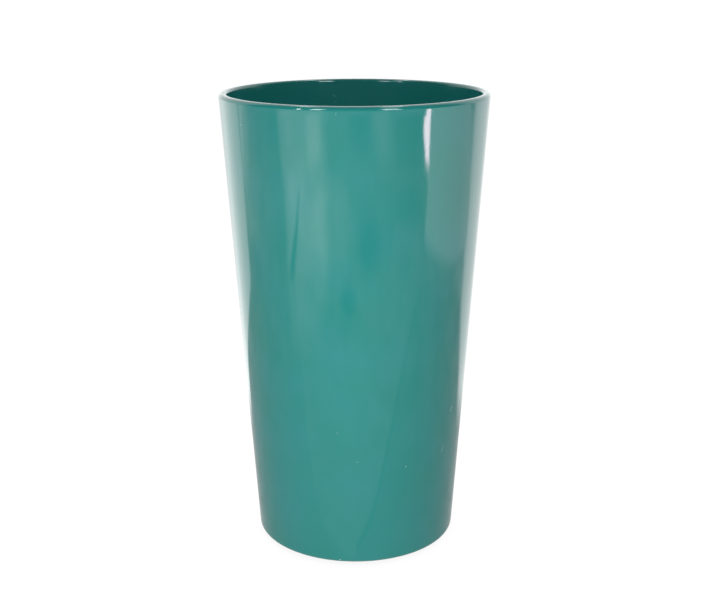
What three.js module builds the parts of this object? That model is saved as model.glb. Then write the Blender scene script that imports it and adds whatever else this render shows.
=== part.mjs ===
// A florist bucket: one tall, tapered moulding of gloss-painted plastic, open at the top and watertight,
// standing on four rubber pads that are stuck to its underside.
// Millimetres, +Z up. The origin is on the axis, in the plane that the pads stand on.
import * as THREE from "three";

// Driving dimensions
const HEIGHT = 400; // from the ground to the top of the lip
const TOP_RADIUS = 115.5; // outside of the wall, carried on to the full height
const BASE_RADIUS = 88.8; // outside of the wall, carried on to the ground
const LIP_WALL = 7; // wall thickness at the lip
const BASE_WALL = 5; // wall thickness at the base
const FLOOR = 6; // floor thickness

const LIP_OUTER_ROUND = 3.2; // rounding of the lip's outer shoulder
const LIP_INNER_ROUND = 2.4; // rounding of the lip's inner edge
const BASE_ROUND = 4; // rounding of the outer bottom edge
const FLOOR_ROUND = 12; // fillet between the floor and the inner wall

const PAD_RADIUS = 10;
const PAD_THICKNESS = 2.5; // the pads hold the bucket this far off the ground
const PAD_CHAMFER = 0.6;
const PAD_CIRCLE = 71; // radius of the circle that the pads' centres lie on
const PAD_COUNT = 4;
const PAD_FIRST_ANGLE = Math.PI / 4;

const HOLLOW_RADIUS = 56; // the underside is hollowed inside this radius, so that it can't rock
const HOLLOW_DEPTH = 3;
const HOLLOW_SLOPE = 4; // how far the hollow's sloping edge runs outwards

const SHELL_SIDES = 96;
const PAD_SIDES = 32;
const ROUND_STEPS = 6; // straight steps along each rounding

const paint = new THREE.MeshStandardMaterial({ color: 0x2f8079, roughness: 0.15, metalness: 0 });
const rubber = new THREE.MeshStandardMaterial({ color: 0x1b1c1c, roughness: 0.9, metalness: 0 });

const outerRadius = (z) => BASE_RADIUS + ((TOP_RADIUS - BASE_RADIUS) * z) / HEIGHT;
const wallAt = (z) => BASE_WALL + ((LIP_WALL - BASE_WALL) * z) / HEIGHT;
const innerRadius = (z) => outerRadius(z) - wallAt(z);

// The angle by which each side of the wall leans out from the vertical.
const outerLean = Math.atan((outerRadius(HEIGHT) - outerRadius(0)) / HEIGHT);
const innerLean = Math.atan((innerRadius(HEIGHT) - innerRadius(0)) / HEIGHT);

// Points along an arc of a profile, from one angle to the other, both included.
function arc(centreR, centreZ, radius, from, to) {
  return Array.from({ length: ROUND_STEPS + 1 }, (_, i) => {
    const angle = from + ((to - from) * i) / ROUND_STEPS;
    return new THREE.Vector2(centreR + radius * Math.cos(angle), centreZ + radius * Math.sin(angle));
  });
}

// A closed solid of revolution about Z. Its profile of (radius, height) points starts and ends on the axis.
function turned(profile, sides) {
  return new THREE.LatheGeometry(profile, sides).rotateX(Math.PI / 2);
}

// The moulding's section, from the middle of its underside, out and up the wall, over the lip and down
// to the middle of the floor.
function shellProfile() {
  const underside = PAD_THICKNESS;
  const hollowTop = underside + HOLLOW_DEPTH;
  const floorTop = hollowTop + FLOOR;

  const baseZ = underside + BASE_ROUND;
  const baseR = outerRadius(baseZ) - BASE_ROUND / Math.cos(outerLean);
  const shoulderZ = HEIGHT - LIP_OUTER_ROUND;
  const shoulderR = outerRadius(shoulderZ) - LIP_OUTER_ROUND / Math.cos(outerLean);
  const innerEdgeZ = HEIGHT - LIP_INNER_ROUND;
  const innerEdgeR = innerRadius(innerEdgeZ) + LIP_INNER_ROUND / Math.cos(innerLean);
  const filletZ = floorTop + FLOOR_ROUND;
  const filletR = innerRadius(filletZ) - FLOOR_ROUND / Math.cos(innerLean);

  return [
    new THREE.Vector2(0, hollowTop),
    new THREE.Vector2(HOLLOW_RADIUS, hollowTop),
    new THREE.Vector2(HOLLOW_RADIUS + HOLLOW_SLOPE, underside),
    ...arc(baseR, baseZ, BASE_ROUND, -Math.PI / 2, -outerLean),
    ...arc(shoulderR, shoulderZ, LIP_OUTER_ROUND, -outerLean, Math.PI / 2),
    ...arc(innerEdgeR, innerEdgeZ, LIP_INNER_ROUND, Math.PI / 2, Math.PI - innerLean),
    ...arc(filletR, filletZ, FLOOR_ROUND, -innerLean, -Math.PI / 2),
    new THREE.Vector2(0, floorTop),
  ];
}

// One pad: a flat disc with its lower edge chamfered.
function padProfile() {
  return [
    new THREE.Vector2(0, 0),
    new THREE.Vector2(PAD_RADIUS - PAD_CHAMFER, 0),
    new THREE.Vector2(PAD_RADIUS, PAD_CHAMFER),
    new THREE.Vector2(PAD_RADIUS, PAD_THICKNESS),
    new THREE.Vector2(0, PAD_THICKNESS),
  ];
}

function named(name, geometry, material) {
  const mesh = new THREE.Mesh(geometry, material);
  mesh.name = name;
  return mesh;
}

const bucket = new THREE.Group();
bucket.add(named("bucket_shell", turned(shellProfile(), SHELL_SIDES), paint));

for (let i = 0; i < PAD_COUNT; i++) {
  const angle = PAD_FIRST_ANGLE + (i * 2 * Math.PI) / PAD_COUNT;
  const pad = named(`foot_pad_${i + 1}`, turned(padProfile(), PAD_SIDES), rubber);
  pad.position.set(PAD_CIRCLE * Math.cos(angle), PAD_CIRCLE * Math.sin(angle), 0);
  bucket.add(pad);
}

export default bucket;
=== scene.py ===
import math

import bpy
from mathutils import Matrix, Vector


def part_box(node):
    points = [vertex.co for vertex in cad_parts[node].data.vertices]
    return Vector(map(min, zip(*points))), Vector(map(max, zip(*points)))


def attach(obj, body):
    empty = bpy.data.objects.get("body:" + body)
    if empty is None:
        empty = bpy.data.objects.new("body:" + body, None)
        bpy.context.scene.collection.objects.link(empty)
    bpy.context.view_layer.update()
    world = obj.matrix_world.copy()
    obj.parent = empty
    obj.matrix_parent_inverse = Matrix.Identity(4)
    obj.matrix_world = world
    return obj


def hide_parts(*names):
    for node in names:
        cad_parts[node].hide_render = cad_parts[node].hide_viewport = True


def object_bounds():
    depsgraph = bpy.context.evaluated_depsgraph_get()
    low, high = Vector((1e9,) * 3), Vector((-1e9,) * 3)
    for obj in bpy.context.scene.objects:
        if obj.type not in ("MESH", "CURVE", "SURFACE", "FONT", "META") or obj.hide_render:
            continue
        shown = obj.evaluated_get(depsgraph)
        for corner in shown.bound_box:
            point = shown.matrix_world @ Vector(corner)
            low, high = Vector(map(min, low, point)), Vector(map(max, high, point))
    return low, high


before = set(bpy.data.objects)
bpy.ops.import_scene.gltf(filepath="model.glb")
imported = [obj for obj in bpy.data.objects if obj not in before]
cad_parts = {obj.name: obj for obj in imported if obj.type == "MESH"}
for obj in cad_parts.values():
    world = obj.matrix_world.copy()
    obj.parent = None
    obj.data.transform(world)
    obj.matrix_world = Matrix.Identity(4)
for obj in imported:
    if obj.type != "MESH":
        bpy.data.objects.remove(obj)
cad_low, cad_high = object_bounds()
scene = bpy.context.scene


# ---------------------------------------------------------------------------------------------
# Where the bucket is looked at from
# A long lens a metre in front of the bucket and 0.1 m above its lip, looking down far enough to
# show the inside of the far lip.
# ---------------------------------------------------------------------------------------------

bucket_height = cad_high.z
camera_distance = 2.5268 * bucket_height
camera_height = 1.2622 * bucket_height
camera_aside = -0.0016 * bucket_height
looking_down = 0.2779
head_tilt = -0.0033

focal_length = 59.77  # millimetres

lens = bpy.data.cameras.new("view")
lens.lens = focal_length
lens.sensor_width = 36.0
lens.clip_start = 0.01
view = bpy.data.objects.new("view", lens)
view.matrix_world = (
    Matrix.Translation((camera_aside, -camera_distance, camera_height))
    @ Matrix.Rotation(math.pi / 2 - looking_down, 4, "X")
    @ Matrix.Rotation(head_tilt, 4, "Z")
)
scene.collection.objects.link(view)
scene.camera = view
scene.view_settings.view_transform = "Standard"


# ---------------------------------------------------------------------------------------------
# The moulding
# Wall, lip, floor and foot ring are one thick moulding, made over a turned form, so its section is
# the same all round. Each edge is rounded, and the wall keeps the form's faint, slow unevenness.
# ---------------------------------------------------------------------------------------------

foot_gap = 0.0025  # the pads hold the moulding this far off the ground
top_radius = 0.1155  # outside of the wall, carried on to the top of the lip
base_radius = 0.0888  # outside of the wall, carried on to the ground
lip_wall = 0.007
base_wall = 0.005
hollow_radius = 0.056
hollow_slope = 0.004
hollow_depth = 0.003
floor_thickness = 0.006


def tree_with(name, kind, takes, gives):
    """An empty node tree of one kind, with named inputs and outputs."""
    tree = bpy.data.node_groups.new(name, kind)
    for label, socket_type, value in takes:
        socket = tree.interface.new_socket(label, in_out="INPUT", socket_type=socket_type)
        if value is not None:
            socket.default_value = value
    for label, socket_type in gives:
        tree.interface.new_socket(label, in_out="OUTPUT", socket_type=socket_type)
    return tree, tree.nodes.new("NodeGroupInput").outputs, tree.nodes.new("NodeGroupOutput").inputs


def node(tree, kind, inputs=None, **settings):
    """Adds a node with its settings, and fills its inputs from values or from other nodes' outputs."""
    made = tree.nodes.new(kind)
    for name, value in settings.items():
        setattr(made, name, value)
    for key, value in (inputs or {}).items():
        if isinstance(value, bpy.types.NodeSocket):
            tree.links.new(value, made.inputs[key])
        else:
            made.inputs[key].default_value = value
    return made


def worked_out(tree, operation, *terms):
    """A number worked out from others."""
    return node(tree, "ShaderNodeMath", dict(enumerate(terms)), operation=operation).outputs[0]


def group(tree, used, inputs=None):
    """A smaller tree used inside another."""
    kind = "GeometryNodeGroup" if tree.bl_idname == "GeometryNodeTree" else "ShaderNodeGroup"
    return node(tree, kind, inputs, node_tree=used)


turned_section, taken, given = tree_with(
    "turned section",
    "GeometryNodeTree",
    [
        ("Section", "NodeSocketGeometry", None),
        ("Sides", "NodeSocketInt", 360),
        ("Longest step", "NodeSocketFloat", 0.006),
    ],
    [("Solid", "NodeSocketGeometry")],
)
index = node(turned_section, "GeometryNodeInputIndex").outputs[0]
position = node(turned_section, "GeometryNodeInputPosition").outputs[0]
next_point = node(
    turned_section,
    "GeometryNodeFieldAtIndex",
    {"Index": worked_out(turned_section, "ADD", index, 1.0), "Value": position},
    data_type="FLOAT_VECTOR",
    domain="POINT",
).outputs[0]
span = node(
    turned_section, "ShaderNodeVectorMath", {0: next_point, 1: position}, operation="DISTANCE"
).outputs["Value"]
cuts = worked_out(
    turned_section, "FLOOR", worked_out(turned_section, "DIVIDE", span, taken["Longest step"])
)
stepped = node(turned_section, "GeometryNodeSubdivideCurve", {"Curve": taken["Section"], "Cuts": cuts})
string = node(turned_section, "GeometryNodeCurveToMesh", {"Curve": stepped.outputs[0]}).outputs[0]
rings = node(
    turned_section, "GeometryNodeAttributeDomainSize", {"Geometry": string}, component="MESH"
).outputs["Point Count"]
columns = worked_out(turned_section, "ADD", taken["Sides"], 1.0)
grid = node(turned_section, "GeometryNodeMeshGrid", {"Vertices X": rings, "Vertices Y": columns}).outputs[0]
ring = worked_out(turned_section, "FLOOR", worked_out(turned_section, "DIVIDE", index, columns))
column = worked_out(turned_section, "SUBTRACT", index, worked_out(turned_section, "MULTIPLY", ring, columns))
turn = worked_out(
    turned_section,
    "MULTIPLY",
    worked_out(turned_section, "DIVIDE", column, taken["Sides"]),
    2 * math.pi,
)
on_section = node(
    turned_section,
    "GeometryNodeSampleIndex",
    {"Geometry": string, "Value": position, "Index": ring},
    data_type="FLOAT_VECTOR",
    domain="POINT",
).outputs[0]
inner_there = node(
    turned_section,
    "GeometryNodeSampleIndex",
    {
        "Geometry": string,
        "Value": node(
            turned_section, "GeometryNodeInputNamedAttribute", {"Name": "inner_side"}, data_type="FLOAT"
        ).outputs[0],
        "Index": ring,
    },
    data_type="FLOAT",
    domain="POINT",
).outputs[0]
section_axes = node(turned_section, "ShaderNodeSeparateXYZ", {0: on_section}).outputs
turned_place = node(
    turned_section,
    "ShaderNodeCombineXYZ",
    {
        "X": worked_out(
            turned_section, "MULTIPLY", section_axes["X"], worked_out(turned_section, "COSINE", turn)
        ),
        "Y": worked_out(
            turned_section, "MULTIPLY", section_axes["X"], worked_out(turned_section, "SINE", turn)
        ),
        "Z": section_axes["Z"],
    },
).outputs[0]
flagged = node(
    turned_section,
    "GeometryNodeStoreNamedAttribute",
    {"Geometry": grid, "Name": "inner_side", "Value": inner_there},
    data_type="FLOAT",
    domain="POINT",
).outputs[0]
turned = node(turned_section, "GeometryNodeSetPosition", {"Geometry": flagged, "Position": turned_place})
closed = node(
    turned_section, "GeometryNodeMergeByDistance", {"Geometry": turned.outputs[0], "Distance": 1e-6}
)
facing = node(turned_section, "GeometryNodeFlipFaces", {"Mesh": closed.outputs[0]})
smooth = node(turned_section, "GeometryNodeSetShadeSmooth", {"Geometry": facing.outputs[0]})
turned_section.links.new(smooth.outputs[0], given["Solid"])

moulding_sizes = {
    "Height": bucket_height,
    "Foot gap": foot_gap,
    "Top radius": top_radius,
    "Base radius": base_radius,
    "Lip wall": lip_wall,
    "Base wall": base_wall,
    "Floor": floor_thickness,
    "Hollow radius": hollow_radius,
    "Hollow slope": hollow_slope,
    "Hollow depth": hollow_depth,
    "Hollow round": 0.0015,
    "Foot round": 0.0015,
    "Base round": 0.004,
    "Lip outer round": 0.0034,
    "Lip inner round": 0.0026,
    "Floor round": 0.012,
    "Unevenness": 0.00012,
    "Unevenness length": 0.09,
}
moulding_tree, taken, given = tree_with(
    "bucket moulding",
    "GeometryNodeTree",
    [("Geometry", "NodeSocketGeometry", None)]
    + [(label, "NodeSocketFloat", 0.0) for label in moulding_sizes]
    + [("Seed", "NodeSocketInt", 0), ("Finish", "NodeSocketMaterial", None)],
    [("Geometry", "NodeSocketGeometry")],
)


def along_wall(low, high, height):
    """A size that changes evenly from the ground to the top of the lip, at one height."""
    share = worked_out(moulding_tree, "DIVIDE", height, taken["Height"])
    rise = worked_out(moulding_tree, "SUBTRACT", high, low)
    return worked_out(moulding_tree, "MULTIPLY_ADD", share, rise, low)


def outside_at(height):
    return along_wall(taken["Base radius"], taken["Top radius"], height)


def inside_at(height):
    wall = along_wall(taken["Base wall"], taken["Lip wall"], height)
    return worked_out(moulding_tree, "SUBTRACT", outside_at(height), wall)


hollow_top = worked_out(moulding_tree, "ADD", taken["Foot gap"], taken["Hollow depth"])
floor_top = worked_out(moulding_tree, "ADD", hollow_top, taken["Floor"])
hollow_edge = worked_out(moulding_tree, "ADD", taken["Hollow radius"], taken["Hollow slope"])
corners = [  # radius, height, rounding, 1 on the inner side
    (0.0, hollow_top, 0.0, 0.0),
    (taken["Hollow radius"], hollow_top, taken["Hollow round"], 0.0),
    (hollow_edge, taken["Foot gap"], taken["Foot round"], 0.0),
    (outside_at(taken["Foot gap"]), taken["Foot gap"], taken["Base round"], 0.0),
    (outside_at(taken["Height"]), taken["Height"], taken["Lip outer round"], 0.0),
    (inside_at(taken["Height"]), taken["Height"], taken["Lip inner round"], 1.0),
    (inside_at(floor_top), floor_top, taken["Floor round"], 1.0),
    (0.0, floor_top, 0.0, 1.0),
]


def by_corner(tree, data_type, values):
    """A field that gives each corner of a section its own value."""
    switch = node(tree, "GeometryNodeIndexSwitch", data_type=data_type)
    while len(switch.index_switch_items) < len(values):
        switch.index_switch_items.new()
    tree.links.new(node(tree, "GeometryNodeInputIndex").outputs[0], switch.inputs[0])
    for i, value in enumerate(values):
        if isinstance(value, bpy.types.NodeSocket):
            tree.links.new(value, switch.inputs[i + 1])
        else:
            switch.inputs[i + 1].default_value = value
    return switch.outputs[0]


corner_places = [
    node(moulding_tree, "ShaderNodeCombineXYZ", {"X": radius, "Y": 0.0, "Z": height}).outputs[0]
    for radius, height, _, _ in corners
]
corner_points = node(
    moulding_tree,
    "GeometryNodePoints",
    {"Count": len(corners), "Position": by_corner(moulding_tree, "VECTOR", corner_places)},
).outputs[0]
flagged = node(
    moulding_tree,
    "GeometryNodeStoreNamedAttribute",
    {
        "Geometry": corner_points,
        "Name": "inner_side",
        "Value": by_corner(moulding_tree, "FLOAT", [corner[3] for corner in corners]),
    },
    data_type="FLOAT",
    domain="POINT",
).outputs[0]
outline = node(moulding_tree, "GeometryNodePointsToCurves", {0: flagged}).outputs[0]
rounded = node(
    moulding_tree,
    "GeometryNodeFilletCurve",
    {
        "Curve": outline,
        "Count": 12,
        "Radius": by_corner(moulding_tree, "FLOAT", [corner[2] for corner in corners]),
    },
    mode="POLY",
).outputs[0]
solid = group(
    moulding_tree, turned_section, {"Section": rounded, "Sides": 360, "Longest step": 0.006}
).outputs[0]
wander = node(
    moulding_tree,
    "ShaderNodeTexNoise",
    {
        "W": taken["Seed"],
        "Scale": worked_out(moulding_tree, "DIVIDE", 1.0, taken["Unevenness length"]),
        "Detail": 1.0,
    },
    noise_dimensions="4D",
).outputs[0]
lift = worked_out(
    moulding_tree,
    "MULTIPLY",
    worked_out(moulding_tree, "SUBTRACT", wander, 0.5),
    worked_out(moulding_tree, "MULTIPLY", taken["Unevenness"], 2.0),
)
lift_along = node(
    moulding_tree,
    "ShaderNodeVectorMath",
    {0: node(moulding_tree, "GeometryNodeInputNormal").outputs[0], "Scale": lift},
    operation="SCALE",
).outputs[0]
uneven = node(moulding_tree, "GeometryNodeSetPosition", {"Geometry": solid, "Offset": lift_along}).outputs[0]
real = node(moulding_tree, "GeometryNodeRealizeInstances", {"Geometry": uneven}).outputs[0]
finished = node(moulding_tree, "GeometryNodeSetMaterial", {"Geometry": real, "Material": taken["Finish"]})
moulding_tree.links.new(finished.outputs[0], given["Geometry"])


def made_by(tree, name, values):
    """Runs a Geometry Nodes tree on an empty mesh, and keeps its result as a plain mesh."""
    start = bpy.data.objects.new(name + "_start", bpy.data.meshes.new(name + "_start"))
    scene.collection.objects.link(start)
    modifier = start.modifiers.new(name, "NODES")
    modifier.node_group = tree
    for item in tree.interface.items_tree:
        if item.in_out == "INPUT" and item.name in values:
            modifier[item.identifier] = values[item.name]
    whole = start.evaluated_get(bpy.context.evaluated_depsgraph_get())
    mesh = bpy.data.meshes.new_from_object(whole)
    bpy.data.objects.remove(start)
    mesh.name = name
    piece = bpy.data.objects.new(name, mesh)
    scene.collection.objects.link(piece)
    return piece


# The paint is a teal enamel sprayed inside and out and baked to a high gloss. It has the spray's fine
# texture, faint clouds where the coat is thicker, and the small marks of handling.

marks = [  # turn from the front in degrees, height, tilt in degrees, length, width, strength
    (58.5, 0.1311, 62, 0.0062, 0.0009, 1.0),
    (52.5, 0.0959, 70, 0.0065, 0.0007, 0.6),
    (26.7, 0.0914, 0, 0.0012, 0.0011, 0.7),
    (-9.3, 0.1270, 20, 0.0012, 0.0010, 0.3),
    (0.7, 0.1004, -40, 0.0012, 0.0010, 0.4),
    (-9.0, 0.0055, 10, 0.0020, 0.0010, 0.7),
    (-7.2, 0.3945, 80, 0.0030, 0.0006, 0.22),
    (-52.6, 0.3809, 0, 0.0010, 0.0010, 0.6),
    (-169.8, 0.3847, 40, 0.0042, 0.0010, 0.28),
    (-170.4, 0.3791, -35, 0.0036, 0.0009, 0.20),
    (148.0, 0.2310, 78, 0.0120, 0.0006, 0.35),
    (-128.0, 0.0640, -25, 0.0080, 0.0007, 0.45),
]

spray_texture, taken, given = tree_with(
    "fine surface texture",
    "ShaderNodeTree",
    [
        ("Vector", "NodeSocketVector", None),
        ("Grain", "NodeSocketFloat", 0.002),
        ("Slow grain", "NodeSocketFloat", 0.02),
        ("Slow share", "NodeSocketFloat", 0.5),
    ],
    [("Height", "NodeSocketFloat")],
)
fine = node(
    spray_texture,
    "ShaderNodeTexNoise",
    {
        "Vector": taken["Vector"],
        "Scale": worked_out(spray_texture, "DIVIDE", 1.0, taken["Grain"]),
        "Detail": 1.5,
    },
).outputs[0]
slow = node(
    spray_texture,
    "ShaderNodeTexNoise",
    {
        "Vector": taken["Vector"],
        "Scale": worked_out(spray_texture, "DIVIDE", 1.0, taken["Slow grain"]),
        "Detail": 1.0,
    },
).outputs[0]
spray_texture.links.new(
    worked_out(spray_texture, "MULTIPLY_ADD", slow, taken["Slow share"], fine), given["Height"]
)


def slant(tree, one_way, other_way):
    """How long a slanting line is, from its reach in two directions at right angles."""
    squares = [worked_out(tree, "MULTIPLY", reach, reach) for reach in (one_way, other_way)]
    return worked_out(tree, "SQRT", worked_out(tree, "ADD", *squares))


short_mark, taken, given = tree_with(
    "short mark",
    "ShaderNodeTree",
    [
        ("Vector", "NodeSocketVector", None),
        ("Turn", "NodeSocketFloat", 0.0),
        ("Height", "NodeSocketFloat", 0.0),
        ("Tilt", "NodeSocketFloat", 0.0),
        ("Length", "NodeSocketFloat", 0.005),
        ("Width", "NodeSocketFloat", 0.001),
        ("Strength", "NodeSocketFloat", 1.0),
    ],
    [("Mask", "NodeSocketFloat")],
)
axes = node(short_mark, "ShaderNodeSeparateXYZ", {0: taken["Vector"]}).outputs
faces = worked_out(short_mark, "ARCTAN2", axes["X"], worked_out(short_mark, "MULTIPLY", axes["Y"], -1.0))
out_from_axis = slant(short_mark, axes["X"], axes["Y"])
across = worked_out(
    short_mark, "MULTIPLY", worked_out(short_mark, "SUBTRACT", faces, taken["Turn"]), out_from_axis
)
above = worked_out(short_mark, "SUBTRACT", axes["Z"], taken["Height"])
cosine = worked_out(short_mark, "COSINE", taken["Tilt"])
sine = worked_out(short_mark, "SINE", taken["Tilt"])
along = worked_out(
    short_mark, "MULTIPLY_ADD", across, cosine, worked_out(short_mark, "MULTIPLY", above, sine)
)
beside = worked_out(
    short_mark, "SUBTRACT", worked_out(short_mark, "MULTIPLY", above, cosine),
    worked_out(short_mark, "MULTIPLY", across, sine),
)
half_length = worked_out(short_mark, "MULTIPLY", taken["Length"], 0.5)
half_width = worked_out(short_mark, "MULTIPLY", taken["Width"], 0.5)
spread_along = worked_out(short_mark, "DIVIDE", along, half_length)
spread_beside = worked_out(short_mark, "DIVIDE", beside, half_width)
from_mark = slant(short_mark, spread_along, spread_beside)
scuffed = node(
    short_mark,
    "ShaderNodeMapRange",
    {"Value": from_mark, "From Min": 0.5, "From Max": 1.2, "To Min": 1.0, "To Max": 0.0},
    interpolation_type="SMOOTHSTEP",
).outputs[0]
short_mark.links.new(worked_out(short_mark, "MULTIPLY", scuffed, taken["Strength"]), given["Mask"])

rubbed_edge, taken, given = tree_with(
    "rubbed edge",
    "ShaderNodeTree",
    [
        ("Vector", "NodeSocketVector", None),
        ("Level", "NodeSocketFloat", 0.0),
        ("Reach", "NodeSocketFloat", 0.002),
        ("Patch size", "NodeSocketFloat", 0.01),
        ("Bareness", "NodeSocketFloat", 0.5),
    ],
    [("Mask", "NodeSocketFloat")],
)
edge_height = node(rubbed_edge, "ShaderNodeSeparateXYZ", {0: taken["Vector"]}).outputs["Z"]
away = worked_out(rubbed_edge, "ABSOLUTE", worked_out(rubbed_edge, "SUBTRACT", edge_height, taken["Level"]))
near = worked_out(
    rubbed_edge, "SUBTRACT", 1.0, worked_out(rubbed_edge, "DIVIDE", away, taken["Reach"])
)
patches = node(
    rubbed_edge,
    "ShaderNodeTexNoise",
    {
        "Vector": taken["Vector"],
        "Scale": worked_out(rubbed_edge, "DIVIDE", 1.0, taken["Patch size"]),
        "Detail": 4.0,
        "Roughness": 0.65,
    },
).outputs[0]
worn = node(
    rubbed_edge,
    "ShaderNodeMapRange",
    {
        "Value": worked_out(rubbed_edge, "ADD", patches, worked_out(rubbed_edge, "MULTIPLY", near, 0.3)),
        "From Min": worked_out(rubbed_edge, "SUBTRACT", 1.05, taken["Bareness"]),
        "From Max": worked_out(rubbed_edge, "SUBTRACT", 1.25, taken["Bareness"]),
    },
    interpolation_type="SMOOTHSTEP",
).outputs[0]
rubbed_edge.links.new(
    worked_out(rubbed_edge, "MULTIPLY", worn, worked_out(rubbed_edge, "GREATER_THAN", near, 0.0)),
    given["Mask"],
)

settled_dust, taken, given = tree_with(
    "settled dust",
    "ShaderNodeTree",
    [
        ("Vector", "NodeSocketVector", None),
        ("Normal", "NodeSocketVector", None),
        ("Speck size", "NodeSocketFloat", 0.0012),
        ("Amount", "NodeSocketFloat", 0.5),
    ],
    [("Mask", "NodeSocketFloat")],
)
faces_up = node(settled_dust, "ShaderNodeSeparateXYZ", {0: taken["Normal"]}).outputs["Z"]
specks = node(
    settled_dust,
    "ShaderNodeTexNoise",
    {
        "Vector": taken["Vector"],
        "Scale": worked_out(settled_dust, "DIVIDE", 1.0, taken["Speck size"]),
        "Detail": 3.0,
        "Roughness": 0.7,
    },
).outputs[0]
lying = node(
    settled_dust,
    "ShaderNodeMapRange",
    {"Value": specks, "From Min": 0.50, "From Max": 0.74},
    interpolation_type="SMOOTHSTEP",
).outputs[0]
upward = node(
    settled_dust,
    "ShaderNodeMapRange",
    {"Value": faces_up, "From Min": 0.5, "From Max": 0.95},
    interpolation_type="SMOOTHSTEP",
).outputs[0]
lying_up = worked_out(settled_dust, "MULTIPLY", lying, upward)
settled_dust.links.new(
    worked_out(settled_dust, "MULTIPLY", lying_up, taken["Amount"]), given["Mask"]
)


def finish_named(name):
    """A new material with an empty tree, its surface shader and its place on the object."""
    material = bpy.data.materials.new(name)
    material.use_nodes = True
    tree = material.node_tree
    tree.nodes.clear()
    shader = node(tree, "ShaderNodeBsdfPrincipled")
    output = node(tree, "ShaderNodeOutputMaterial", {"Surface": shader.outputs[0]})
    output.target = "ALL"
    return material, tree, shader.inputs, node(tree, "ShaderNodeTexCoord").outputs


def mixed(tree, share, first, second):
    """A colour between two others."""
    mix = node(tree, "ShaderNodeMix", data_type="RGBA")
    for key, value in ((0, share), (6, first), (7, second)):
        if isinstance(value, bpy.types.NodeSocket):
            tree.links.new(value, mix.inputs[key])
        else:
            mix.inputs[key].default_value = value
    return mix.outputs[2]


teal_enamel, tree, surface, place = finish_named("teal enamel")
on_bucket = place["Object"]
clouds = node(
    tree, "ShaderNodeTexNoise", {"Vector": on_bucket, "Scale": 22.0, "Detail": 3.0, "Roughness": 0.55}
).outputs[0]
mark_masks = [
    group(
        tree,
        short_mark,
        {
            "Vector": on_bucket,
            "Turn": math.radians(turn_degrees),
            "Height": height,
            "Tilt": math.radians(tilt_degrees),
            "Length": length,
            "Width": width,
            "Strength": strength,
        },
    ).outputs[0]
    for turn_degrees, height, tilt_degrees, length, width, strength in marks
]
all_marks = mark_masks[0]
for mask in mark_masks[1:]:
    all_marks = worked_out(tree, "MAXIMUM", all_marks, mask)
lip_rub = group(
    tree,
    rubbed_edge,
    {"Vector": on_bucket, "Level": bucket_height, "Reach": 0.0030, "Patch size": 0.012, "Bareness": 0.28},
).outputs[0]
foot_rub = group(
    tree,
    rubbed_edge,
    {"Vector": on_bucket, "Level": foot_gap, "Reach": 0.0022, "Patch size": 0.006, "Bareness": 0.62},
).outputs[0]
dust = group(
    tree,
    settled_dust,
    {"Vector": on_bucket, "Normal": place["Normal"], "Speck size": 0.0015, "Amount": 0.35},
).outputs[0]
inner_side = node(tree, "ShaderNodeAttribute", attribute_name="inner_side").outputs["Fac"]

green_coat = (0.0135, 0.246, 0.198, 1.0)
blue_coat = (0.0265, 0.272, 0.282, 1.0)
inside_painted_shade_coat = (0.004, 0.170, 0.150, 1.0)
rubbed_coat = (0.20, 0.36, 0.34, 1.0)
grey_dust = (0.42, 0.43, 0.41, 1.0)
scratched_coat = (0.62, 0.80, 0.78, 1.0)
coat_colour = mixed(tree, clouds, green_coat, blue_coat)
# Painted shade: the inside is mixed a tenth of the way towards a darker teal, for the lesser light inside the
# bucket. The real paint is the same teal inside and out.
coat_colour = mixed(tree, worked_out(tree, "MULTIPLY", inner_side, 0.10), coat_colour, inside_painted_shade_coat)
coat_colour = mixed(tree, worked_out(tree, "MULTIPLY", foot_rub, 0.55), coat_colour, rubbed_coat)
coat_colour = mixed(tree, worked_out(tree, "MULTIPLY", lip_rub, 0.12), coat_colour, rubbed_coat)
coat_colour = mixed(tree, dust, coat_colour, grey_dust)
coat_colour = mixed(tree, worked_out(tree, "MULTIPLY", all_marks, 0.8), coat_colour, scratched_coat)
tree.links.new(coat_colour, surface["Base Color"])

gloss = worked_out(tree, "MULTIPLY_ADD", clouds, 0.05, 0.055)
gloss = worked_out(tree, "MULTIPLY_ADD", inner_side, 0.03, gloss)
gloss = worked_out(tree, "MULTIPLY_ADD", foot_rub, 0.35, gloss)
gloss = worked_out(tree, "MULTIPLY_ADD", lip_rub, 0.10, gloss)
gloss = worked_out(tree, "MULTIPLY_ADD", dust, 0.6, gloss)
gloss = worked_out(tree, "MULTIPLY_ADD", all_marks, 0.45, gloss)
tree.links.new(gloss, surface["Roughness"])

peel = group(
    tree,
    spray_texture,
    {"Vector": on_bucket, "Grain": 0.0022, "Slow grain": 0.030, "Slow share": 3.0},
).outputs[0]
relief = worked_out(tree, "MULTIPLY_ADD", all_marks, -1.5, peel)
relief = worked_out(tree, "MULTIPLY_ADD", foot_rub, -0.6, relief)
bump = node(tree, "ShaderNodeBump", {"Height": relief, "Strength": 1.0, "Distance": 0.000012})
tree.links.new(bump.outputs[0], surface["Normal"])
surface["IOR"].default_value = 1.5

moulding = made_by(
    moulding_tree, "painted_moulding", dict(moulding_sizes, **{"Seed": 7, "Finish": teal_enamel})
)
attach(moulding, "root")
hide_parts("bucket_shell")


# ---------------------------------------------------------------------------------------------
# The pads
# Four soft black rubber discs, bought ready made and stuck to the foot ring. Each has a rounded
# edge and moulded rings on its underside, which give it grip.
# ---------------------------------------------------------------------------------------------

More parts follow.
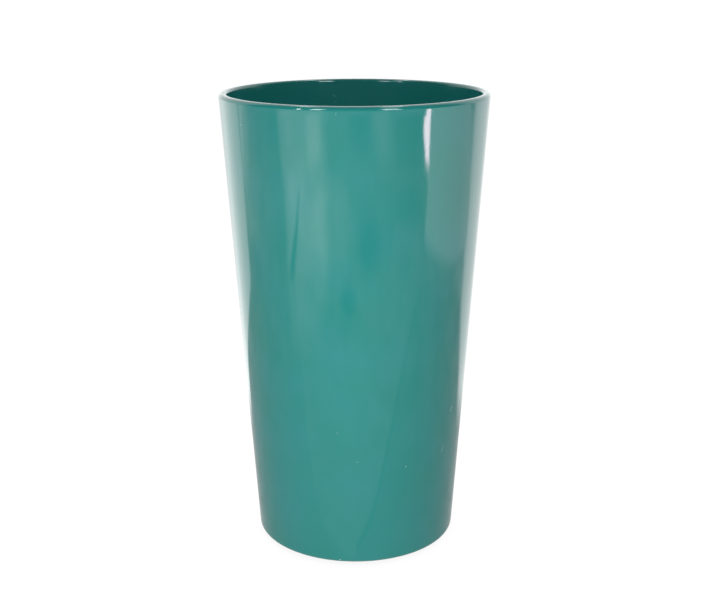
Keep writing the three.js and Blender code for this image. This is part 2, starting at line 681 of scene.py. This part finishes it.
pad_low, pad_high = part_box("foot_pad_1")
pad_sizes = {
    "Pad radius": (pad_high.x - pad_low.x) / 2,
    "Pad thickness": pad_high.z - pad_low.z,
    "Edge round": 0.0009,
    "Glued edge round": 0.0003,
    "Ring depth": 0.00025,
    "Ring spacing": 0.0022,
}
pad_places = [(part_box(f"foot_pad_{i}")[0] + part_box(f"foot_pad_{i}")[1]) / 2 for i in range(1, 5)]
pad_circle = math.hypot(pad_places[0].x, pad_places[0].y)
first_pad_turn = math.atan2(pad_places[0].y, pad_places[0].x)

pad_tree, taken, given = tree_with(
    "rubber pads",
    "GeometryNodeTree",
    [("Geometry", "NodeSocketGeometry", None)]
    + [(label, "NodeSocketFloat", 0.0) for label in pad_sizes]
    + [
        ("Circle radius", "NodeSocketFloat", 0.0),
        ("First turn", "NodeSocketFloat", 0.0),
        ("Pads", "NodeSocketInt", 4),
        ("Finish", "NodeSocketMaterial", None),
    ],
    [("Geometry", "NodeSocketGeometry")],
)
pad_corners = [
    ((0.0, 0.0), 0.0),
    ((taken["Pad radius"], 0.0), taken["Edge round"]),
    ((taken["Pad radius"], taken["Pad thickness"]), taken["Glued edge round"]),
    ((0.0, taken["Pad thickness"]), 0.0),
]
pad_outline = node(
    pad_tree,
    "GeometryNodePointsToCurves",
    {
        0: node(
            pad_tree,
            "GeometryNodePoints",
            {
                "Count": len(pad_corners),
                "Position": by_corner(
                    pad_tree,
                    "VECTOR",
                    [
                        node(pad_tree, "ShaderNodeCombineXYZ", {"X": radius, "Z": height}).outputs[0]
                        for (radius, height), _ in pad_corners
                    ],
                ),
            },
        ).outputs[0]
    },
).outputs[0]
pad_rounded = node(
    pad_tree,
    "GeometryNodeFilletCurve",
    {
        "Curve": pad_outline,
        "Count": 5,
        "Radius": by_corner(pad_tree, "FLOAT", [rounding for _, rounding in pad_corners]),
    },
    mode="POLY",
).outputs[0]
pad_solid = group(
    pad_tree, turned_section, {"Section": pad_rounded, "Sides": 64, "Longest step": 0.0004}
).outputs[0]
pad_axes = node(
    pad_tree, "ShaderNodeSeparateXYZ", {0: node(pad_tree, "GeometryNodeInputPosition").outputs[0]}
).outputs
from_middle = slant(pad_tree, pad_axes["X"], pad_axes["Y"])
ring_wave = worked_out(
    pad_tree,
    "COSINE",
    worked_out(
        pad_tree, "MULTIPLY", worked_out(pad_tree, "DIVIDE", from_middle, taken["Ring spacing"]), 2 * math.pi
    ),
)
ring_rise = worked_out(
    pad_tree,
    "MULTIPLY",
    worked_out(pad_tree, "MULTIPLY_ADD", ring_wave, 0.5, 0.5),
    taken["Ring depth"],
)
underneath = worked_out(pad_tree, "LESS_THAN", pad_axes["Z"], 0.00001)
grooved = node(
    pad_tree,
    "GeometryNodeSetPosition",
    {
        "Geometry": pad_solid,
        "Offset": node(
            pad_tree,
            "ShaderNodeCombineXYZ",
            {"Z": worked_out(pad_tree, "MULTIPLY", ring_rise, underneath)},
        ).outputs[0],
    },
).outputs[0]
pad_turn = worked_out(
    pad_tree,
    "MULTIPLY_ADD",
    worked_out(
        pad_tree, "DIVIDE", node(pad_tree, "GeometryNodeInputIndex").outputs[0], taken["Pads"]
    ),
    2 * math.pi,
    taken["First turn"],
)
pad_spots = node(
    pad_tree,
    "GeometryNodePoints",
    {
        "Count": taken["Pads"],
        "Position": node(
            pad_tree,
            "ShaderNodeCombineXYZ",
            {
                "X": worked_out(
                    pad_tree, "MULTIPLY", worked_out(pad_tree, "COSINE", pad_turn), taken["Circle radius"]
                ),
                "Y": worked_out(
                    pad_tree, "MULTIPLY", worked_out(pad_tree, "SINE", pad_turn), taken["Circle radius"]
                ),
            },
        ).outputs[0],
    },
).outputs[0]
all_pads = node(
    pad_tree, "GeometryNodeInstanceOnPoints", {"Points": pad_spots, "Instance": grooved}
).outputs[0]
real_pads = node(pad_tree, "GeometryNodeRealizeInstances", {"Geometry": all_pads}).outputs[0]
finished_pads = node(
    pad_tree, "GeometryNodeSetMaterial", {"Geometry": real_pads, "Material": taken["Finish"]}
)
pad_tree.links.new(finished_pads.outputs[0], given["Geometry"])

pad_rubber, tree, surface, place = finish_named("black pad rubber")
on_pads = place["Object"]
bloom = node(
    tree, "ShaderNodeTexNoise", {"Vector": on_pads, "Scale": 260.0, "Detail": 3.0, "Roughness": 0.6}
).outputs[0]
scuffing = group(
    tree,
    rubbed_edge,
    {"Vector": on_pads, "Level": 0.0, "Reach": 0.0012, "Patch size": 0.004, "Bareness": 0.60},
).outputs[0]
pad_dust = group(
    tree,
    settled_dust,
    {"Vector": on_pads, "Normal": place["Normal"], "Speck size": 0.0008, "Amount": 0.3},
).outputs[0]
fresh_rubber = (0.010, 0.010, 0.011, 1.0)
bloomed_rubber = (0.020, 0.020, 0.021, 1.0)
scuffed_rubber = (0.09, 0.09, 0.085, 1.0)
dust_on_rubber = (0.30, 0.30, 0.28, 1.0)
rubber_colour = mixed(tree, bloom, fresh_rubber, bloomed_rubber)
rubber_colour = mixed(tree, worked_out(tree, "MULTIPLY", scuffing, 0.5), rubber_colour, scuffed_rubber)
rubber_colour = mixed(tree, pad_dust, rubber_colour, dust_on_rubber)
tree.links.new(rubber_colour, surface["Base Color"])
rubber_gloss = worked_out(tree, "MULTIPLY_ADD", bloom, 0.25, 0.62)
rubber_gloss = worked_out(tree, "MULTIPLY_ADD", scuffing, 0.12, rubber_gloss)
tree.links.new(rubber_gloss, surface["Roughness"])
rubber_grain = group(
    tree,
    spray_texture,
    {"Vector": on_pads, "Grain": 0.0005, "Slow grain": 0.004, "Slow share": 1.0},
).outputs[0]
bump = node(tree, "ShaderNodeBump", {"Height": rubber_grain, "Strength": 0.8, "Distance": 0.00006})
tree.links.new(bump.outputs[0], surface["Normal"])

pads = made_by(
    pad_tree,
    "stuck_on_pads",
    dict(
        pad_sizes,
        **{"Circle radius": pad_circle, "First turn": first_pad_turn, "Pads": 4, "Finish": pad_rubber},
    ),
)
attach(pads, "root")
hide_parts("foot_pad_1", "foot_pad_2", "foot_pad_3", "foot_pad_4")


# ---------------------------------------------------------------------------------------------
# The studio
# A plain white table and sweep. What the gloss sees is a pale table with a brighter sweep behind it,
# a window on the right with a strip lamp in front of it, three soft boxes in front and two overhead.
# ---------------------------------------------------------------------------------------------


def glow_named(name):
    """A new material that only gives light, and that is never picked as a lamp of its own."""
    material = bpy.data.materials.new(name)
    material.use_nodes = True
    material.node_tree.nodes.clear()
    material.cycles.emission_sampling = "NONE"
    return material, material.node_tree


def card(name, corners, material):
    """A flat card that only shows in the bucket's gloss."""
    mesh = bpy.data.meshes.new(name)
    mesh.from_pydata(corners, [], [tuple(range(len(corners)))])
    mesh.materials.append(material)
    made = bpy.data.objects.new(name, mesh)
    scene.collection.objects.link(made)
    made.visible_camera = False
    made.visible_diffuse = False
    made.visible_shadow = False
    made.visible_transmission = False
    return made


def ramp(tree, value, low, high, to_low=0.0, to_high=1.0):
    """A soft step from one value to another."""
    return node(
        tree,
        "ShaderNodeMapRange",
        {"Value": value, "From Min": low, "From Max": high, "To Min": to_low, "To Max": to_high},
        interpolation_type="SMOOTHSTEP",
    ).outputs[0]


def between(tree, value, low, high, soft):
    """1 from low to high, with soft ends."""
    up = ramp(tree, value, low - soft, low + soft)
    down = ramp(tree, value, high - soft, high + soft, 1.0, 0.0)
    return worked_out(tree, "MULTIPLY", up, down)


table_white, tree = glow_named("white table")
rays = node(tree, "ShaderNodeLightPath").outputs
spot = node(tree, "ShaderNodeNewGeometry").outputs["Position"]
spot_axes = node(tree, "ShaderNodeSeparateXYZ", {0: spot}).outputs
right, back = spot_axes["X"], spot_axes["Y"]
front = worked_out(tree, "MULTIPLY", back, -1.0)
bearing = worked_out(
    tree, "MULTIPLY", worked_out(tree, "ARCTAN2", right, front), 180 / math.pi
)
far = slant(tree, right, back)

# The table in the gloss: a lighter wedge in front, with painted shadows of the bucket greying both its sides,
# a pool of light from the window on the left, and soft patches further out.
# Painted shadows of the bucket: the table is greyer left and right of the wedge, with a thin darker line
# along the right shadow's edge.
wedge_left_line = worked_out(tree, "ADD", back, worked_out(tree, "MULTIPLY_ADD", right, -0.56, 0.10))
left_painted_shadow = ramp(tree, wedge_left_line, -0.005, 0.010)
bending_away = worked_out(
    tree, "SUBTRACT", 1.0, worked_out(tree, "EXPONENT", worked_out(tree, "MULTIPLY", right, -4.5))
)
wedge_right_curve = worked_out(
    tree, "ADD", back, worked_out(tree, "MULTIPLY_ADD", bending_away, 0.29, 0.12)
)
right_painted_shadow = ramp(tree, wedge_right_curve, -0.005, 0.008)
painted_shadow_edge_line = between(tree, wedge_right_curve, -0.004, 0.010, 0.004)
on_left = worked_out(tree, "LESS_THAN", right, 0.0)
on_right = worked_out(tree, "SUBTRACT", 1.0, on_left)
near_wall = ramp(tree, far, 0.65, 0.85, 1.0, 0.0)
table_level = worked_out(
    tree, "MULTIPLY_ADD", worked_out(tree, "MULTIPLY", left_painted_shadow, on_left), -0.17, 0.76
)
for amount, mask in ((-0.19, right_painted_shadow), (-0.18, painted_shadow_edge_line)):
    only_near = worked_out(tree, "MULTIPLY", worked_out(tree, "MULTIPLY", mask, on_right), near_wall)
    table_level = worked_out(tree, "MULTIPLY_ADD", only_near, amount, table_level)

reach_out = worked_out(tree, "LOGARITHM", far, math.e)


def patch(bearing_middle, distance, bearing_half, stretch, soft=0.45):
    """A soft round patch on the table, by its bearing from the bucket and its distance."""
    sideways = worked_out(
        tree, "DIVIDE", worked_out(tree, "SUBTRACT", bearing, bearing_middle), bearing_half
    )
    outwards = worked_out(
        tree, "DIVIDE", worked_out(tree, "SUBTRACT", reach_out, math.log(distance)), stretch
    )
    off = worked_out(
        tree,
        "ADD",
        worked_out(tree, "MULTIPLY", sideways, sideways),
        worked_out(tree, "MULTIPLY", outwards, outwards),
    )
    return ramp(tree, off, soft, 1.5, 1.0, 0.0)


pool_bearing = worked_out(tree, "ADD", bearing, ramp(tree, far, 1.0, 1.7, 0.0, 4.0))
pool_sides = worked_out(
    tree,
    "MULTIPLY",
    ramp(tree, pool_bearing, -63.5, -58.0),
    ramp(tree, bearing, -29.0, -19.0, 1.0, 0.0),
)
# The window's light on the table, cut off sharply on one side and fading out on the other.
window_pool = worked_out(tree, "MULTIPLY", pool_sides, ramp(tree, far, 0.54, 0.90))
patches = [  # how much lighter or darker, and where
    (1.00, window_pool),
    (0.60, patch(-24.0, 0.97, 21.0, 0.22, 0.1)),
    (0.75, patch(-34.0, 1.60, 6.5, 0.30, 0.2)),
    (0.26, patch(-49.0, 0.58, 14.0, 0.20, 0.0)),
    (0.55, patch(-50.0, 1.15, 9.0, 0.22, 0.0)),
    (-0.42, patch(-6.0, 0.66, 8.0, 0.09, 0.0)),
    (-0.14, patch(-14.0, 0.60, 18.0, 0.14, 0.0)),
    (-0.42, patch(12.0, 0.86, 11.0, 0.14, 0.0)),
    (-0.16, patch(18.0, 0.92, 26.0, 0.20, 0.0)),
    (-0.42, patch(4.0, 1.60, 10.0, 0.22, 0.0)),
    (0.42, patch(22.0, 1.75, 8.0, 0.35, 0.0)),
    (-0.36, patch(47.0, 1.07, 14.0, 0.13, 0.0)),
    (-0.34, patch(47.0, 1.60, 15.0, 0.26, 0.0)),
    (-0.10, patch(46.0, 0.76, 10.0, 0.10, 0.0)),
    (0.14, patch(-84.0, 1.15, 22.0, 0.30, 0.0)),
    (-0.12, patch(-68.0, 1.75, 8.0, 0.20, 0.0)),
    (0.16, patch(-62.0, 1.95, 6.0, 0.12, 0.0)),
    (
        0.40,
        worked_out(tree, "MULTIPLY", ramp(tree, bearing, -97.0, -104.0), ramp(tree, far, 1.2, 1.7)),
    ),
    (
        0.42,
        worked_out(tree, "MULTIPLY", ramp(tree, bearing, -84.0, -106.0), ramp(tree, far, 0.80, 1.15)),
    ),
]
for amount, where in patches:
    table_level = worked_out(tree, "MULTIPLY_ADD", where, amount, table_level)
cloud_spot = node(
    tree,
    "ShaderNodeCombineXYZ",
    {"X": worked_out(tree, "DIVIDE", bearing, 13.0), "Y": worked_out(tree, "MULTIPLY", reach_out, 5.0)},
).outputs[0]
clouding = node(
    tree, "ShaderNodeTexNoise", {"Vector": cloud_spot, "Scale": 1.0, "Detail": 2.0, "Roughness": 0.5}
).outputs[0]
cloud_share = ramp(tree, far, 0.20, 0.70, 0.35, 0.95)
cloud_gain = worked_out(
    tree, "MULTIPLY_ADD", worked_out(tree, "SUBTRACT", clouding, 0.5), cloud_share, 1.0
)
table_level = worked_out(tree, "MULTIPLY", table_level, cloud_gain)

# The foot of a lamp stand lies across the pool of light on the left.
leg_along = (0.4626, 0.8866)
leg_start = (-0.86, -0.81)
right_of_start = worked_out(tree, "SUBTRACT", right, leg_start[0])
behind_start = worked_out(tree, "SUBTRACT", back, leg_start[1])
down_leg = worked_out(
    tree,
    "MULTIPLY_ADD",
    right_of_start,
    leg_along[0],
    worked_out(tree, "MULTIPLY", behind_start, leg_along[1]),
)
beside_leg = worked_out(
    tree,
    "MULTIPLY_ADD",
    right_of_start,
    leg_along[1],
    worked_out(tree, "MULTIPLY", behind_start, -leg_along[0]),
)
beside_leg = worked_out(tree, "ABSOLUTE", beside_leg)
leg_half = ramp(tree, down_leg, 0.0, 0.42, 0.010, 0.030)
in_leg = ramp(tree, worked_out(tree, "DIVIDE", beside_leg, leg_half), 0.6, 1.5, 1.0, 0.0)
in_leg = worked_out(tree, "MULTIPLY", in_leg, between(tree, down_leg, 0.0, 0.47, 0.06))
leg_shade = worked_out(tree, "MULTIPLY_ADD", in_leg, -0.86, 1.0)
table_level = worked_out(tree, "MULTIPLY", table_level, leg_shade)

# The sweep comes round behind, and is brightest at its sides.
round_back = worked_out(tree, "ABSOLUTE", bearing)
left_edge = worked_out(
    tree, "ADD", ramp(tree, far, 0.40, 0.85, 137.0, 112.3), ramp(tree, far, 1.45, 1.75, 0.0, -4.5)
)
right_edge = ramp(tree, far, 0.30, 0.75, 126.5, 118.5)
past_left = ramp(tree, worked_out(tree, "SUBTRACT", round_back, left_edge), -1.3, 1.3)
past_right = ramp(tree, worked_out(tree, "SUBTRACT", round_back, right_edge), -4.5, 4.5)
on_sweep = worked_out(
    tree,
    "ADD",
    worked_out(tree, "MULTIPLY", past_left, on_left),
    worked_out(tree, "MULTIPLY", past_right, on_right),
)
left_sweep = ramp(tree, round_back, 139.0, 162.0, 2.05, 1.10)
right_sweep = ramp(tree, round_back, 124.0, 152.0, 1.75, 1.28)
sweep_level = worked_out(
    tree,
    "ADD",
    worked_out(tree, "MULTIPLY", left_sweep, on_left),
    worked_out(tree, "MULTIPLY", right_sweep, on_right),
)
on_seam = worked_out(
    tree, "MULTIPLY", between(tree, bearing, -112.6, -110.9, 0.7), ramp(tree, far, 1.45, 1.7)
)
seam_shade = worked_out(tree, "MULTIPLY_ADD", on_seam, -0.55, 1.0)
sweep_level = worked_out(tree, "MULTIPLY", sweep_level, seam_shade)
on_sweep = worked_out(tree, "MULTIPLY", on_sweep, ramp(tree, far, 0.26, 0.42))
seen_in_gloss = node(
    tree,
    "ShaderNodeMix",
    {0: on_sweep, 2: table_level, 3: sweep_level},
    data_type="FLOAT",
).outputs[0]

# What lights the paint is evener than what its gloss shows, and the camera sees white with a faint painted
# contact shadow.
spread_light = node(
    tree, "ShaderNodeMix", {0: on_sweep, 2: 0.52, 3: sweep_level}, data_type="FLOAT"
).outputs[0]
thrown_on_bucket = node(
    tree, "ShaderNodeMix", {0: rays["Is Diffuse Ray"], 2: seen_in_gloss, 3: spread_light}, data_type="FLOAT"
).outputs[0]

# Painted contact shadow: the white the camera sees is darkened a little where the bucket stands, by how shut
# in each spot is.
contact = node(
    tree, "ShaderNodeAmbientOcclusion", {"Distance": 0.05}, samples=16, only_local=False
).outputs["AO"]
white_with_painted_shadow = ramp(tree, contact, 0.15, 0.80, 0.93, 1.02)  # a little darker where the bucket stands
level = node(
    tree,
    "ShaderNodeMix",
    {0: rays["Is Camera Ray"], 2: thrown_on_bucket, 3: white_with_painted_shadow},
    data_type="FLOAT",
).outputs[0]
glow = node(tree, "ShaderNodeEmission", {"Strength": level})
node(tree, "ShaderNodeOutputMaterial", {"Surface": glow.outputs[0]})

table_mesh = bpy.data.meshes.new("white_table")
table_reach = 60.0
table_mesh.from_pydata(
    [
        (-table_reach, -table_reach, 0.0),
        (table_reach, -table_reach, 0.0),
        (table_reach, table_reach, 0.0),
        (-table_reach, table_reach, 0.0),
    ],
    [],
    [(0, 1, 2, 3)],
)
table_mesh.materials.append(table_white)
table = bpy.data.objects.new("white_table", table_mesh)
scene.collection.objects.link(table)

window_light, tree = glow_named("window")
window_axes = node(
    tree, "ShaderNodeSeparateXYZ", {0: node(tree, "ShaderNodeNewGeometry").outputs["Position"]}
).outputs
window_level = ramp(tree, window_axes["Y"], -0.46, 0.30, 2.10, 1.15)
window_level = worked_out(tree, "MULTIPLY", window_level, ramp(tree, window_axes["Z"], 0.02, 0.05, 0.55, 1.0))
glow = node(tree, "ShaderNodeEmission", {"Strength": window_level})
node(tree, "ShaderNodeOutputMaterial", {"Surface": glow.outputs[0]})
window_outline = [  # along the window, and up
    (-0.570, 0.380), (-0.464, 0.213), (-0.445, 0.184), (-0.419, 0.143), (-0.390, 0.104), (-0.389, 0.080),
    (-0.395, 0.055), (-0.404, 0.038), (-0.397, 0.024), (-0.378, 0.017), (-0.320, 0.016), (-0.266, 0.018),
    (-0.214, 0.022), (-0.111, 0.024), (0.012, 0.027), (0.143, 0.034), (0.275, 0.038), (0.406, 0.043),
    (0.436, 0.060), (0.413, 0.111), (0.303, 0.195), (0.239, 0.255), (0.115, 0.380),
]
window_aside = 0.75
card("window", [(window_aside, along, up) for along, up in window_outline], window_light)

lamp_light, tree = glow_named("strip lamp")
lamp_spot = node(tree, "ShaderNodeNewGeometry").outputs["Position"]
lamp_axes = node(tree, "ShaderNodeSeparateXYZ", {0: lamp_spot}).outputs
ragged = worked_out(
    tree,
    "MULTIPLY_ADD",
    node(tree, "ShaderNodeTexNoise", {"Vector": lamp_spot, "Scale": 170.0, "Detail": 3.0}).outputs[0],
    0.060,
    -0.030,
)
lamp_bulge = between(tree, lamp_axes["Z"], 0.165, 0.203, 0.014)
straight_left = ramp(tree, lamp_axes["Z"], 0.14, 0.17, -0.462, -0.482)
lamp_left = worked_out(tree, "MULTIPLY_ADD", lamp_bulge, -0.030, straight_left)
lamp_right = ramp(tree, lamp_axes["Z"], 0.14, 0.20, -0.392, -0.408)
past_lamp_left = ramp(
    tree,
    worked_out(tree, "ADD", worked_out(tree, "SUBTRACT", lamp_axes["Y"], lamp_left), ragged),
    -0.012,
    0.022,
)
before_lamp_right = ramp(
    tree, worked_out(tree, "SUBTRACT", lamp_axes["Y"], lamp_right), -0.012, 0.010, 1.0, 0.0
)
above_lamp_end = ramp(
    tree, worked_out(tree, "MULTIPLY_ADD", ragged, 0.4, lamp_axes["Z"]), 0.131, 0.149
)
lamp_shape = worked_out(
    tree, "MULTIPLY", worked_out(tree, "MULTIPLY", past_lamp_left, before_lamp_right), above_lamp_end
)
glow = node(tree, "ShaderNodeEmission", {"Color": (1.0, 0.74, 0.84, 1.0), "Strength": 17.5})
clear = node(tree, "ShaderNodeBsdfTransparent")
shaped = node(tree, "ShaderNodeMixShader", {0: lamp_shape, 1: clear.outputs[0], 2: glow.outputs[0]})
node(tree, "ShaderNodeOutputMaterial", {"Surface": shaped.outputs[0]})
lamp_aside = 0.745  # just in front of the window
lamp_front, lamp_back, lamp_bottom, lamp_top = -0.56, -0.36, 0.11, 0.30
card(
    "strip_lamp",
    [
        (lamp_aside, lamp_front, lamp_bottom),
        (lamp_aside, lamp_back, lamp_bottom),
        (lamp_aside, lamp_back, lamp_top),
        (lamp_aside, lamp_front, lamp_top),
    ],
    lamp_light,
)

# Soft boxes, which show only as short dashes on the rounded lip.
box_distance = 1.15
for name, bearing_degrees, width, bottom, top, brightness in (
    ("left_box", -31.0, 0.19, 0.66, 1.35, 12.0),
    ("far_left_box", -46.0, 0.07, 0.68, 0.98, 26.0),
    ("right_box", 30.0, 0.28, 0.66, 1.35, 12.0),
):
    box_light, tree = glow_named(name)
    glow = node(tree, "ShaderNodeEmission", {"Strength": brightness})
    node(tree, "ShaderNodeOutputMaterial", {"Surface": glow.outputs[0]})
    direction = math.radians(bearing_degrees)
    middle = Vector((box_distance * math.sin(direction), -box_distance * math.cos(direction), 0.0))
    sideways = Vector((math.cos(direction), math.sin(direction), 0.0)) * width / 2
    low, high = Vector((0.0, 0.0, bottom)), Vector((0.0, 0.0, top))
    left_side, right_side = middle - sideways, middle + sideways
    card(name, [left_side + low, right_side + low, right_side + high, left_side + high], box_light)

overhead_half_width = 0.08
overhead_front, overhead_back = 0.05, 0.45
overhead_height = 1.4
overhead_light, tree = glow_named("overhead box")
glow = node(tree, "ShaderNodeEmission", {"Strength": 9.0})
node(tree, "ShaderNodeOutputMaterial", {"Surface": glow.outputs[0]})
for name, middle_x in (("overhead_left_box", -0.34), ("overhead_right_box", 0.27)):
    left_side, right_side = middle_x - overhead_half_width, middle_x + overhead_half_width
    card(
        name,
        [
            (left_side, overhead_front, overhead_height),
            (right_side, overhead_front, overhead_height),
            (right_side, overhead_back, overhead_height),
            (left_side, overhead_back, overhead_height),
        ],
        overhead_light,
    )

# Two soft lights that light the paint and don't show in the gloss: one low in front, and one higher
# that reaches the inside of the far wall.
fill_size = 0.35
aimed_at = Vector((0.0, 0.0, bucket_height / 2))
for name, bearing_degrees, distance, height, watts in (
    ("front_fill", -8.0, 0.66, 0.19, 1.86),
    ("high_fill", -4.0, 1.10, 0.66, 1.70),
):
    direction = math.radians(bearing_degrees)
    place_of_light = Vector((distance * math.sin(direction), -distance * math.cos(direction), height))
    light = bpy.data.lights.new(name, "AREA")
    light.shape = "DISK"
    light.size = fill_size
    light.energy = watts
    fill = bpy.data.objects.new(name, light)
    fill.location = place_of_light
    fill.rotation_euler = (aimed_at - place_of_light).to_track_quat("-Z", "Y").to_euler()
    fill.visible_glossy = False
    scene.collection.objects.link(fill)

# The room: dark in front and overhead in the gloss, bright behind, and plain white to the camera.
world = bpy.data.worlds.new("studio")
world.use_nodes = True
world.cycles.sampling_method = "NONE"
scene.world = world
tree = world.node_tree
tree.nodes.clear()
rays = node(tree, "ShaderNodeLightPath").outputs
towards = node(
    tree, "ShaderNodeSeparateXYZ", {0: node(tree, "ShaderNodeTexCoord").outputs["Generated"]}
).outputs
room = ramp(tree, towards["Y"], 0.02, 0.40, 0.05, 1.50)
room_light = worked_out(
    tree,
    "ADD",
    ramp(tree, towards["Y"], -0.95, -0.15, 0.37, 0.31),
    ramp(tree, towards["Y"], 0.15, 0.85, 0.0, 0.46),
)
level = node(
    tree, "ShaderNodeMix", {0: rays["Is Camera Ray"], 2: room, 3: 1.02}, data_type="FLOAT"
).outputs[0]
level = node(
    tree, "ShaderNodeMix", {0: rays["Is Diffuse Ray"], 2: level, 3: room_light}, data_type="FLOAT"
).outputs[0]
sky = node(tree, "ShaderNodeBackground", {"Color": (1.0, 1.0, 1.0, 1.0), "Strength": level})
node(tree, "ShaderNodeOutputWorld", {"Surface": sky.outputs[0]})
